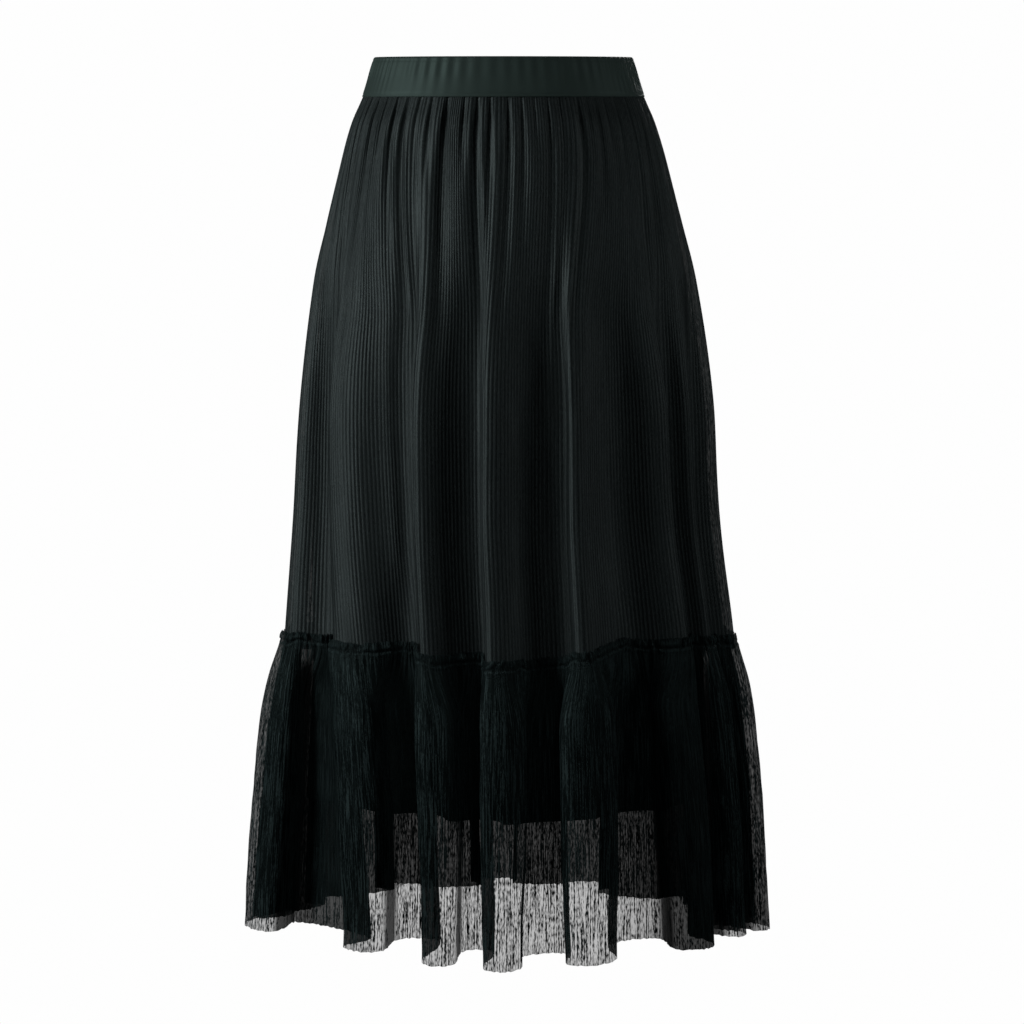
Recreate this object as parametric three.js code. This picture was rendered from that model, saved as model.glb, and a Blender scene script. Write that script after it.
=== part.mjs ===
// Tiered pleated midi skirt, worn shape, in millimetres, +Z up, front towards -Y.
// The origin is the centre of the waist, at half the height of the waistband.
// "drop" is how far a point lies below the origin, and "angle" goes round the body:
// 0 at the centre front, 90 degrees at the wearer's side on +X, 180 at the centre back.
import * as THREE from "three";

// Waistband: wide elastic in a folded casing of plain satin-backed cloth.
const BAND_HEIGHT = 38;
const BAND_THICKNESS = 3;
const BAND_GATHER = 0.7; // how far a gather of the casing stands out
const BAND_EDGE = 1.2; // the rounding of the folded top edge

// Cloth and seams.
const MESH_THICKNESS = 1.2;
const LINING_THICKNESS = 1;
const SEAM_GAP = 0.3;
const TIER_TOP = BAND_HEIGHT / 2 + SEAM_GAP;
const SEAM_DROP = 552; // the stitch line where the ruffle is sewn on
const TIER_HEM = SEAM_DROP + 8; // the upper tier ends under the ruffle
const HEADING_HEIGHT = 8; // the ruffle's frill above the stitch line
const HEADING_FLARE = 3;
const LINING_HEM = 704;
const RUFFLE_HEM = 833;

// Numbers of pleats and gathers all round. A pleat is two columns of points and a
// ruffle gather is four, so the two tiers' columns line up at the stitch line.
const PLEATS = 96;
const WAIST_GATHERS = 24;
const RUFFLE_GATHERS = 48;
const PLEAT_HEIGHT = 1.5;
const WAIST_GATHER = 2.4; // height of a gather just under the band
const WAIST_GATHER_LENGTH = 150; // the drop over which the gathers fade
const RUFFLE_GATHER = 1.8;
const LINING_FOLLOWS = 0.5; // the lining takes this share of each fold's height,
const LINING_FOLLOWS_LOW = 0.2; // this share inside the ruffle,
const LINING_LIFT = 0.5; // and of how much higher the cloth hangs there
const LINING_HANG = 10; // its hem hangs this far inside the tier's line

// The outline through the ridges of the folds, without the pleats. width and depths are
// measured from the centre, which hangs towards +X by sway.
// fold is half the height of a fold, from the bottom of its trough to its ridge.
const BAND_SECTIONS = [
  { drop: -19, width: 124.2, front: 94, back: 97, fold: 0, sway: 0 },
  { drop: -8, width: 127.9, front: 95.5, back: 99, fold: 0, sway: 0 },
  { drop: 5, width: 131.6, front: 97.5, back: 102, fold: 0, sway: 0 },
  { drop: 19, width: 136, front: 100, back: 106, fold: 0, sway: 0 },
];
const TIER_SECTIONS = [
  { drop: 19, width: 134.7, front: 99, back: 105, fold: 0, sway: 0 },
  { drop: 51, width: 147.6, front: 106.5, back: 116.5, fold: 1.2, sway: 0 },
  { drop: 80, width: 158, front: 112, back: 126, fold: 2.8, sway: 0.4 },
  { drop: 138, width: 175.6, front: 121.5, back: 137.5, fold: 5.2, sway: 0.6 },
  { drop: 197, width: 189.8, front: 130.5, back: 145.5, fold: 7.5, sway: 0.9 },
  { drop: 315, width: 202.4, front: 140.5, back: 152.5, fold: 10.5, sway: 1.4 },
  { drop: 434, width: 209.8, front: 148, back: 157, fold: 12, sway: 1 },
  { drop: 552, width: 222, front: 158, back: 164, fold: 13, sway: 3.6 },
  { drop: 700, width: 233, front: 167, back: 171, fold: 14, sway: 3 },
];
const RUFFLE_SECTIONS = [
  { drop: 552, width: 222, front: 158, back: 164, fold: 13, sway: 3.6 },
  { drop: 572, width: 227.6, front: 163, back: 169, fold: 15.5, sway: 3.6 },
  { drop: 594, width: 233.8, front: 168.5, back: 174.5, fold: 18.5, sway: 3.6 },
  { drop: 641, width: 241.4, front: 176, back: 181.5, fold: 21.5, sway: 3.2 },
  { drop: 701, width: 247.8, front: 181, back: 186, fold: 24, sway: 2.8 },
  { drop: 765, width: 253, front: 184.5, back: 190, fold: 26, sway: 2 },
  { drop: 833, width: 257.4, front: 188, back: 193, fold: 27.5, sway: 1.8 },
];

// The deep folds, which start in the upper tier and run on as the ruffle's waves.
// at and hemAt are the ridge's angle in degrees in the upper tier and at the hem, from is
// the drop where the fold begins, and rise and hemRise are the ridge's height in the tier
// and at the hem. lift is how much higher than at the centre front the stitch line runs
// there, and hemLift how much higher the hem does. lean and ruffleLean are how far the
// ridge leans over against the angle's direction, in millimetres. narrow and ruffleNarrow
// make the ridge narrower than the trough beside it, or wider if they are negative.
const FOLD_COLUMNS =
  "at hemAt from rise hemRise lift hemLift lean ruffleLean narrow ruffleNarrow".split(" ");
const FOLDS = [
  [-106, -104, 150, 0.8, 0.9, 8, 3, 0, 0, 0, 0.1],
  [-79, -76, 60, 1, 1, 13, 13, -8, 0, 0, 0.1],
  [-48, -29.5, 50, 1, 1, 13, 13, 13, 8, -0.5, 0.75],
  [-19, -13, 40, 0.95, 1, 5, 4, 17, 9, 0.3, 0.25],
  [0, 0.9, 40, 1, 1, 0, 0, 13.5, 12, 0, 0.2],
  [22, 21.2, 40, 0.95, 1, 8, 4, 8, 13, 0.5, 0.15],
  [45, 50, 120, 0.85, 0.95, 15, 8, -12, 2, 0, -0.1],
  [63, 66, 140, 0.7, 0.75, 13, 9, 4, 0, 0.2, 0.1],
  [84, 83, 80, 1, 1, 8, 5, 0, 0, 0, 0.1],
  [104, 104, 160, 0.75, 0.8, 8, 3, 0, 0, 0, 0.1],
  [129, 131, 90, 0.9, 0.95, 8, 2, 12, 4, 0, 0.2],
  [160, 161, 120, 0.8, 0.85, 9, 9, 16, 8, 0.3, 0.3],
  [182, 182, 70, 1, 1, 10, 10, -10, -4, 0, 0.2],
  [205, 206, 110, 0.9, 1, 11, 8, -16, -8, 0.2, 0.2],
  [229, 231, 80, 0.85, 0.85, 8, 2, 8, 4, 0, 0.1],
].map((row) => Object.fromEntries(FOLD_COLUMNS.map((name, i) => [name, row[i]])));
const FOLDS_GROWN = 0.6 * SEAM_DROP; // the folds have their full height from this drop
const RIDGES_TURN = 250; // below this drop the ridges turn towards their place at the hem
const RUFFLE_OPENS = 60; // the ruffle's waves take their shape over this drop
const TIER_SWELL = 0.02; // a ridge swells sideways by this share of the folds' spacing
const RUFFLE_SWELL = 0.13;
const HEM_ZONE = 700; // below this drop the ruffle's ridges narrow towards the hem
const HEM_NARROWS = 0.3;
const HEM_ARCH = 5; // the hem rises this far in the troughs

const radians = THREE.MathUtils.degToRad;
const FULL_TURN = 2 * Math.PI;

// One column of a section table at any drop, on a smooth curve through its rows.
function sectionValue(sections, column, drop) {
  const last = sections.length - 1;
  let row = 0;
  while (row < last - 1 && drop > sections[row + 1].drop) row += 1;
  const here = sections[row];
  const next = sections[row + 1];
  const before = sections[Math.max(row - 1, 0)];
  const after = sections[Math.min(row + 2, last)];
  const span = next.drop - here.drop;
  const t = THREE.MathUtils.clamp((drop - here.drop) / span, 0, 1);
  const slopeHere = (next[column] - before[column]) / (next.drop - before.drop);
  const slopeNext = (after[column] - here[column]) / (after.drop - here.drop);
  return (
    here[column] * (1 + 2 * t) * (1 - t) ** 2 +
    slopeHere * span * t * (1 - t) ** 2 +
    next[column] * t * t * (3 - 2 * t) +
    slopeNext * span * t * t * (t - 1)
  );
}

// Where the cloth at an angle of the stitch line lies among the deep folds: the ridges on
// either side of it and the share of the way between them. turned is the angle that the
// cloth has reached at a drop, as the folds lean sideways towards the hem, and spacing is
// the angle there from one ridge to the other.
function foldAt(angle, drop) {
  const first = radians(FOLDS[0].at);
  const wrapped = ((((angle - first) % FULL_TURN) + FULL_TURN) % FULL_TURN) + first;
  const index = FOLDS.findLastIndex((fold) => radians(fold.at) <= wrapped + 1e-9);
  const from = FOLDS[index];
  const to = FOLDS[(index + 1) % FOLDS.length];
  const closing = index === FOLDS.length - 1 ? 360 : 0;
  const share = (wrapped - radians(from.at)) / radians(to.at + closing - from.at);
  const low = THREE.MathUtils.smoothstep(drop, RIDGES_TURN, RUFFLE_HEM);
  const start = radians(THREE.MathUtils.lerp(from.at, from.hemAt, low));
  const end = radians(THREE.MathUtils.lerp(to.at, to.hemAt, low) + closing);
  return { from, to, share, spacing: end - start, turned: start + share * (end - start) };
}

// The folds' shape at a point: their height, from -1 in a trough to about 1 on a ridge,
// how far they swell sideways there, as an angle, and how far they lean, in millimetres.
function foldShape(angle, drop) {
  const { from, to, share, spacing } = foldAt(angle, drop);
  const across = THREE.MathUtils.smoothstep(share, 0, 1);
  const between = (valueOf) => THREE.MathUtils.lerp(valueOf(from), valueOf(to), across);
  const atHem = THREE.MathUtils.smoothstep(drop, SEAM_DROP, RUFFLE_HEM);
  const opened = THREE.MathUtils.smoothstep(drop, SEAM_DROP, SEAM_DROP + RUFFLE_OPENS);
  const grown = between((fold) => THREE.MathUtils.smoothstep(drop, fold.from, FOLDS_GROWN));
  const rise = grown * between((fold) => THREE.MathUtils.lerp(fold.rise, fold.hemRise, atHem));
  const lean = between((fold) => THREE.MathUtils.lerp(fold.lean, fold.ruffleLean, opened));
  const narrow =
    between((fold) => THREE.MathUtils.lerp(fold.narrow, fold.ruffleNarrow, opened)) +
    HEM_NARROWS * THREE.MathUtils.smoothstep(drop, HEM_ZONE, RUFFLE_HEM);
  const turn = FULL_TURN * share;
  const fuller = THREE.MathUtils.lerp(TIER_SWELL, RUFFLE_SWELL, opened) * Math.sin(2 * turn);
  return {
    height: rise * Math.cos(turn),
    swell: rise * spacing * (fuller - (narrow * Math.sin(turn)) / FULL_TURN),
    lean: (grown * lean * (1 + Math.cos(turn))) / 2,
  };
}

// How much higher than at the centre front the cloth hangs at a point. The step from one
// fold to the next is on the steep side of the ridge.
function liftAt(angle, drop) {
  const { from, to, share } = foldAt(angle, drop);
  const grown = THREE.MathUtils.smoothstep(drop, 60, SEAM_DROP);
  const stepStarts = to.lean > 0 ? 0.5 : 0;
  const step = THREE.MathUtils.smoothstep(share, stepStarts, stepStarts + 0.5);
  const low = THREE.MathUtils.smoothstep(drop, SEAM_DROP, RUFFLE_HEM);
  const trough = (1 - foldShape(angle, drop).height) / 2;
  const liftOf = (fold) => THREE.MathUtils.lerp(fold.lift, fold.hemLift, low);
  return THREE.MathUtils.lerp(liftOf(from), liftOf(to), step) * grown + HEM_ARCH * trough * low;
}

// A wave of gathers with uneven spacing and height, from -1 to 1.
function gathers(angle, count) {
  const uneven = 0.9 * Math.sin(5 * angle + 1) + 0.7 * Math.sin(11 * angle + 4);
  const height = 0.75 + 0.25 * Math.sin(7 * angle + 2);
  return height * Math.cos(count * angle + uneven);
}

// A point on the smooth surface that a section table and the folds give, seen from above.
// follows is the share of each fold that the cloth takes, from the bottom of its trough.
function onSections(sections, angle, drop, follows = 1) {
  const fold = sectionValue(sections, "fold", drop);
  const width = sectionValue(sections, "width", drop) - fold;
  const { turned } = foldAt(angle, drop);
  const side = Math.cos(turned) > 0 ? "front" : "back";
  const depth = sectionValue(sections, side, drop) - fold;
  const shape = foldShape(angle, drop);
  const normal = new THREE.Vector2(depth * Math.sin(turned), -width * Math.cos(turned));
  const tangent = new THREE.Vector2(-normal.y, normal.x);
  const height = follows * (shape.height + 1) - 1;
  const aside = follows * (shape.swell * normal.length() - shape.lean);
  const sway = sectionValue(sections, "sway", drop);
  return new THREE.Vector2(sway + width * Math.sin(turned), -depth * Math.cos(turned))
    .addScaledVector(normal.normalize(), fold * height)
    .addScaledVector(tangent.normalize(), aside);
}

// The same point moved out along the surface's own normal.
function offsetFrom(surface, angle, drop, out) {
  const step = 0.004;
  const point = surface(angle, drop);
  const along = surface(angle + step, drop).sub(surface(angle - step, drop));
  const normal = new THREE.Vector2(along.y, -along.x).normalize();
  return point.addScaledVector(normal, out);
}

const bandSurface = (angle, drop) => onSections(BAND_SECTIONS, angle, drop);
const tierSurface = (angle, drop) => onSections(TIER_SECTIONS, angle, drop);
const ruffleSurface = (angle, drop) => onSections(RUFFLE_SECTIONS, angle, drop);
const liningSurface = (angle, drop) => {
  const low = THREE.MathUtils.smoothstep(drop, SEAM_DROP - 100, SEAM_DROP + 40);
  const follows = THREE.MathUtils.lerp(LINING_FOLLOWS, LINING_FOLLOWS_LOW, low);
  return onSections(TIER_SECTIONS, angle, drop, follows);
};

// How far the upper tier's gathers stand out from its surface under the band.
function waistGather(angle, drop) {
  const fade = 1 - THREE.MathUtils.smoothstep(drop, TIER_TOP, WAIST_GATHER_LENGTH);
  const start = 0.35 + 0.65 * THREE.MathUtils.smoothstep(drop, TIER_TOP, 45);
  return WAIST_GATHER * fade * start * (0.5 + 0.5 * gathers(angle, WAIST_GATHERS));
}

// Panels. Each gives the distance of its outer and inner face from its surface, and how
// much higher than its drop the cloth hangs.
const tierPanel = {
  surface: tierSurface,
  lift: liftAt,
  outer: (angle, drop, column) =>
    waistGather(angle, drop) + (column % 2 ? PLEAT_HEIGHT : 0),
  inner: (angle, drop) => waistGather(angle, drop) - MESH_THICKNESS,
};
const liningOut = (drop) =>
  -MESH_THICKNESS -
  SEAM_GAP -
  LINING_HANG * THREE.MathUtils.smoothstep(drop, TIER_TOP, LINING_HEM);
const liningPanel = {
  surface: liningSurface,
  lift: (angle, drop) => LINING_LIFT * liftAt(angle, drop),
  outer: (angle, drop) => liningOut(drop),
  inner: (angle, drop) => liningOut(drop) - LINING_THICKNESS,
};
// The ruffle lies on the upper tier's pleats at the stitch line. Above it the heading
// flares out, and below it the gathers swell and fade towards the hem.
const ruffleOut = (angle, drop) => {
  const heading = Math.max(0, (SEAM_DROP - drop) / HEADING_HEIGHT);
  const below = THREE.MathUtils.smoothstep(drop, SEAM_DROP, SEAM_DROP + 30);
  const faded = 1 - 0.6 * THREE.MathUtils.smoothstep(drop, SEAM_DROP + 60, RUFFLE_HEM);
  const wave = 0.5 + 0.5 * gathers(angle, RUFFLE_GATHERS);
  const seat = PLEAT_HEIGHT + SEAM_GAP;
  return seat + HEADING_FLARE * heading + RUFFLE_GATHER * wave * (heading + below * faded);
};
const rufflePanel = {
  surface: (angle, drop) =>
    drop < SEAM_DROP ? tierSurface(angle, drop) : ruffleSurface(angle, drop),
  lift: liftAt,
  outer: (angle, drop) => ruffleOut(angle, drop) + MESH_THICKNESS,
  inner: ruffleOut,
};

// A closed mesh from points and triangles, which hold the points' indices.
function closedMesh(name, points, faces, material) {
  const geometry = new THREE.BufferGeometry();
  const flat = points.flatMap((point) => [point.x, point.y, point.z]);
  geometry.setAttribute("position", new THREE.Float32BufferAttribute(flat, 3));
  geometry.setIndex(faces.flat());
  geometry.computeVertexNormals();
  const mesh = new THREE.Mesh(geometry, material);
  mesh.name = name;
  return mesh;
}

// Two triangles for each square between neighbouring rows of point indices.
function quadStrip(rows) {
  return rows.slice(1).flatMap((lower, row) =>
    lower.slice(1).flatMap((corner, column) => [
      [rows[row][column], lower[column], corner],
      [rows[row][column], corner, rows[row][column + 1]],
    ]),
  );
}

// The same triangles facing the other way.
function turned(faces) {
  return faces.map(([a, b, c]) => [a, c, b]);
}

// Half of a garment tube, from one side seam to the other, as a cloth wall around the
// angle centre. Its panel says where its outer and inner faces lie.
function clothPanel({ name, panel, centre, drops, columns, material }) {
  const points = [];
  const face = (out) =>
    drops.map((drop) => {
      const trim = SEAM_GAP / 2 / sectionValue(TIER_SECTIONS, "front", drop);
      const reach = Math.PI / 2 - trim;
      return Array.from({ length: columns + 1 }, (_, column) => {
        const angle = centre - reach + (2 * reach * column) / columns;
        const flat = offsetFrom(panel.surface, angle, drop, out(angle, drop, column));
        points.push(new THREE.Vector3(flat.x, flat.y, panel.lift(angle, drop) - drop));
        return points.length - 1;
      });
    });
  const outside = face(panel.outer);
  const inside = face(panel.inner);
  const firstEdge = (rows) => rows.map((row) => row[0]);
  const lastEdge = (rows) => rows.map((row) => row.at(-1));
  const faces = [
    ...quadStrip(outside),
    ...turned(quadStrip(inside)),
    ...quadStrip([inside[0], outside[0]]),
    ...quadStrip([outside.at(-1), inside.at(-1)]),
    ...turned(quadStrip([firstEdge(inside), firstEdge(outside)])),
    ...quadStrip([lastEdge(inside), lastEdge(outside)]),
  ];
  return closedMesh(name, points, faces, material);
}

// The waistband is one closed ring. Its section runs up the outside, over the folded
// top edge and down the inside. The casing's gathers are strongest near the top.
function waistband(material) {
  const columns = 4 * WAIST_GATHERS;
  const half = BAND_HEIGHT / 2;
  const section = [
    { drop: half, out: 0, gather: 0.1 },
    { drop: half * 0.4, out: 0, gather: 0.35 },
    { drop: -half * 0.3, out: 0, gather: 1 },
    { drop: -half + BAND_EDGE, out: 0, gather: 0.9 },
    { drop: -half, out: -BAND_EDGE, gather: 0.5 },
    { drop: -half, out: -BAND_THICKNESS + BAND_EDGE / 2, gather: 0 },
    { drop: -half + BAND_EDGE, out: -BAND_THICKNESS, gather: 0 },
    { drop: 0, out: -BAND_THICKNESS, gather: 0 },
    { drop: half, out: -BAND_THICKNESS, gather: 0 },
  ];
  const points = [];
  const rows = [...section, section[0]].map(({ drop, out, gather }, row) =>
    Array.from({ length: columns + 1 }, (_, column) => {
      if (row === section.length) return column % columns;
      if (column === columns) return row * columns;
      const angle = (FULL_TURN * column) / columns;
      const wave = BAND_GATHER * gather * gathers(angle, WAIST_GATHERS);
      const flat = offsetFrom(bandSurface, angle, drop, out + wave);
      points.push(new THREE.Vector3(flat.x, flat.y, -drop));
      return points.length - 1;
    }),
  );
  return closedMesh("waistband", points, quadStrip(rows.reverse()), material);
}

// Materials: black pleated mesh, black plain lining, and the band's smooth casing.
const meshCloth = new THREE.MeshStandardMaterial({ color: 0x0d1111, roughness: 0.75 });
const liningCloth = new THREE.MeshStandardMaterial({ color: 0x070808, roughness: 0.85 });
const bandCloth = new THREE.MeshStandardMaterial({ color: 0x1b2021, roughness: 0.6 });

// The rows of points of each panel. The tier has one where the heading's frill ends, so
// the frill lies clear of it.
const UPPER_DROPS = [TIER_TOP, 45, 85, 150, 240, 350, 450];
const TIER_DROPS = [...UPPER_DROPS, SEAM_DROP - HEADING_HEIGHT, TIER_HEM];
const LINING_DROPS = [...UPPER_DROPS, TIER_HEM, 610, 655, LINING_HEM];
const LINING_COLUMNS = 32;
const RUFFLE_DROPS = [
  SEAM_DROP - HEADING_HEIGHT,
  SEAM_DROP,
  SEAM_DROP + 14,
  SEAM_DROP + 40,
  641,
  701,
  767,
  RUFFLE_HEM,
];

const skirt = new THREE.Group();
skirt.add(waistband(bandCloth));
for (const [half, centre] of [
  ["front", 0],
  ["back", Math.PI],
]) {
  skirt.add(
    clothPanel({
      name: `tier_${half}`,
      panel: tierPanel,
      centre,
      drops: TIER_DROPS,
      columns: PLEATS,
      material: meshCloth,
    }),
    clothPanel({
      name: `ruffle_${half}`,
      panel: rufflePanel,
      centre,
      drops: RUFFLE_DROPS,
      columns: 2 * RUFFLE_GATHERS,
      material: meshCloth,
    }),
    clothPanel({
      name: `lining_${half}`,
      panel: liningPanel,
      centre,
      drops: LINING_DROPS,
      columns: LINING_COLUMNS,
      material: liningCloth,
    }),
  );
}

export default skirt;
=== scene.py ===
# %% [markdown]
# # A tiered pleated midi skirt
#
# The skirt hangs as if it were worn: an elastic waistband, a long upper tier of pleated
# mesh, a gathered ruffle of the same mesh, and a plain lining that ends inside the ruffle.
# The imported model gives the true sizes, and every piece here is a thin sheet of cloth that
# lies on its solid's form and adds what the solid leaves out: fine ribs, creases, crinkles
# and stitches.

# %% Load the frame
import math

import bpy
import numpy as np
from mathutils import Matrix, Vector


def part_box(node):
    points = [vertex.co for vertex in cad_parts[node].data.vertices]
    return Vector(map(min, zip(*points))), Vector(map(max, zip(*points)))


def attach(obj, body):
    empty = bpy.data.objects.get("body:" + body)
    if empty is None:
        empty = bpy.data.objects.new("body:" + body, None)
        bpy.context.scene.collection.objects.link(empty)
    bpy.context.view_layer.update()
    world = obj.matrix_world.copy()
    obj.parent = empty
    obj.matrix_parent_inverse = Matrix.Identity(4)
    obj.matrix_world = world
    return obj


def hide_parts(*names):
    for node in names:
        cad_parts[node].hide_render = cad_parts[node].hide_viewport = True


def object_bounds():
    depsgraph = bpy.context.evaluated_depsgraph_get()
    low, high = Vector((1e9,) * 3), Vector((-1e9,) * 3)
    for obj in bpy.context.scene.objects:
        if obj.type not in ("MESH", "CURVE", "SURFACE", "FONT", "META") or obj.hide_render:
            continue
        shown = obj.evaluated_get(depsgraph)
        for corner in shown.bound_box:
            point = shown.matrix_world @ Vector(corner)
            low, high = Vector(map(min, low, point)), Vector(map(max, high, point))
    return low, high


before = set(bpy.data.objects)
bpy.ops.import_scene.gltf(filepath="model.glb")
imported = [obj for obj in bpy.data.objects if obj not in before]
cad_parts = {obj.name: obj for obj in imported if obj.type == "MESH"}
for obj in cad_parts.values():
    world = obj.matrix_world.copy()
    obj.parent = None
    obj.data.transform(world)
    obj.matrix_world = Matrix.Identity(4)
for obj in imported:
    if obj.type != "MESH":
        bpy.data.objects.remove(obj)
cad_low, cad_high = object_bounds()
print("the model's box runs from", tuple(cad_low), "to", tuple(cad_high))

# %% [markdown]
# ## The camera, the light and the floor
#
# The camera stands 3.7 m away, at the height of the waist, with a long lens, and looks
# down a little. It comes first, so that each piece can be looked at as it is made.

# %% Camera
LENS = 134.4
SENSOR = 36
CAMERA_AT = (0.0082, -3.7, -0.022)
CAMERA_PITCH = 6.15

camera_data = bpy.data.cameras.new("camera")
camera_data.lens = LENS
camera_data.sensor_width = SENSOR
camera = bpy.data.objects.new("camera", camera_data)
camera.location = CAMERA_AT
camera.rotation_euler = (math.radians(90 - CAMERA_PITCH), 0, 0)
bpy.context.scene.collection.objects.link(camera)
bpy.context.scene.camera = camera
print("camera at", CAMERA_AT, "looking down by", CAMERA_PITCH, "degrees")

# %% [markdown]
# Black cloth shows its form only by the light that glances off it. One soft lamp far round
# to the left lights the left side of each fold and leaves the right side dark. A broad weak
# lamp in front and one on the right keep the shadows from going quite black, and a fourth
# lights the back.

# %% Soft studio light
MIDDLE = np.array([0, 0, -0.4])


def soft_lamp(name, at, size, watts):
    """A square lamp that faces the middle of the skirt."""
    lamp = bpy.data.lights.new(name, "AREA")
    lamp.size = size
    lamp.energy = watts
    holder = bpy.data.objects.new(name, lamp)
    holder.location = at
    towards = Vector(MIDDLE - np.array(at))
    holder.rotation_euler = towards.to_track_quat("-Z", "Y").to_euler()
    bpy.context.scene.collection.objects.link(holder)
    print(name, "at", at, watts, "W")


soft_lamp("key_lamp", (-3.0, -1.15, 0.45), 1.0, 105)
soft_lamp("front_lamp", (0.5, -3.6, 0.7), 2.0, 19)
soft_lamp("right_lamp", (3.0, -0.7, 0.4), 1.0, 21)
soft_lamp("back_lamp", (0.8, 2.8, 1.2), 1.6, 50)

# %% [markdown]
# The room is white. Where the mesh is thin, that white shows through it, so a ray of the
# camera has to pass several layers of cloth and still reach the wall. The wall itself
# gives no light, which keeps the folds deep.

# %% White room
WHITE = (0.99, 0.99, 0.99, 1)
CLOTH_LAYERS = 48

world = bpy.data.worlds.new("room")
bpy.context.scene.world = world
world.use_nodes = True
world.node_tree.nodes["Background"].inputs["Color"].default_value = WHITE
world.cycles_visibility.diffuse = False
world.cycles_visibility.glossy = False
world.cycles_visibility.transmission = False
bpy.context.scene.view_settings.view_transform = "Standard"
bpy.context.scene.cycles.transparent_max_bounces = CLOTH_LAYERS
print("a ray may pass", CLOTH_LAYERS, "layers of open cloth")

# %% [markdown]
# The floor is a plane as white as the wall, so no edge shows between them. It lies well
# below the hem, because the skirt hangs and doesn't stand.

# %% Pale floor
FLOOR_SIZE = 12
FLOOR_DROP = 0.30

bpy.ops.object.select_all(action="DESELECT")
bpy.ops.mesh.primitive_plane_add(size=FLOOR_SIZE, location=(0, 0, cad_low.z - FLOOR_DROP))
floor = bpy.context.object
floor.name = "floor"
floor_paint = bpy.data.materials.new("floor_white")
floor_paint.use_nodes = True
floor_nodes = floor_paint.node_tree.nodes
floor_nodes.clear()
floor_glow = floor_nodes.new("ShaderNodeEmission")
floor_glow.inputs["Color"].default_value = WHITE
floor_out = floor_nodes.new("ShaderNodeOutputMaterial")
floor_paint.node_tree.links.new(floor_glow.outputs[0], floor_out.inputs["Surface"])
floor.data.materials.append(floor_paint)
floor.visible_diffuse = False
floor.visible_glossy = False
print("floor at", round(floor.location.z, 3))

# %% [markdown]
# ## The skirt's own sizes
#
# The sizes are in millimetres, as in the pattern of the garment. "drop" is how far a point
# lies below the middle of the waistband. "angle" goes round the body: 0 at the centre
# front, 90 degrees at the side on +X and 180 at the centre back. Tables give angles in
# degrees, and functions take them in radians.

# %% Sizes in millimetres
MM = 0.001
BAND_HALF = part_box("waistband")[1].z / MM
SEAM_GAP = 0.3
TIER_TOP = BAND_HALF + SEAM_GAP
SEAM_DROP = 552
LINING_HEM = 704
RUFFLE_HEM = 833
print("the band is", round(2 * BAND_HALF, 2), "mm high and the hem hangs at", RUFFLE_HEM)

# %% [markdown]
# The outline is a table of level sections. width and the two depths reach out to the
# ridges of the folds, fold is half the height of a fold, and sway is how far the section
# hangs to one side.

# %% Sections


def table(names, *lines):
    """A short table as named columns."""
    return dict(zip(names.split(), np.array(lines, float).T))


SECTION = "drop width front back fold sway"
BAND_SECTIONS = table(
    SECTION,
    (-19, 124.2, 94, 97, 0, 0),
    (-8, 127.9, 95.5, 99, 0, 0),
    (5, 131.6, 97.5, 102, 0, 0),
    (19, 136, 100, 106, 0, 0),
)
TIER_SECTIONS = table(
    SECTION,
    (19, 134.7, 99, 105, 0, 0),
    (51, 147.6, 106.5, 116.5, 1.2, 0),
    (80, 158, 112, 126, 2.8, 0.4),
    (138, 175.6, 121.5, 137.5, 5.2, 0.6),
    (197, 189.8, 130.5, 145.5, 7.5, 0.9),
    (315, 202.4, 140.5, 152.5, 10.5, 1.4),
    (434, 209.8, 148, 157, 12, 1),
    (552, 222, 158, 164, 13, 3.6),
    (700, 233, 167, 171, 14, 3),
)
RUFFLE_SECTIONS = table(
    SECTION,
    (552, 222, 158, 164, 13, 3.6),
    (572, 227.6, 163, 169, 15.5, 3.6),
    (594, 233.8, 168.5, 174.5, 18.5, 3.6),
    (641, 241.4, 176, 181.5, 21.5, 3.2),
    (701, 247.8, 181, 186, 24, 2.8),
    (765, 253, 184.5, 190, 26, 2),
    (833, 257.4, 188, 193, 27.5, 1.8),
)
print("the hem reaches", RUFFLE_SECTIONS["width"][-1], "mm to either side")

# %% [markdown]
# The deep folds start in the upper tier and run on as the waves of the ruffle. at and
# hem_at are the ridge's angle at the stitch line and at the hem, start is the drop where
# the fold begins, rise and hem_rise are its height, and lift and hem_lift are how much
# higher than at the centre front the stitch line and the hem hang there. A fold seldom
# stands straight: lean and hem_lean are how far its ridge leans over to the wearer's right,
# in millimetres, and narrow and hem_narrow make the ridge narrower than the trough beside
# it.

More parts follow.
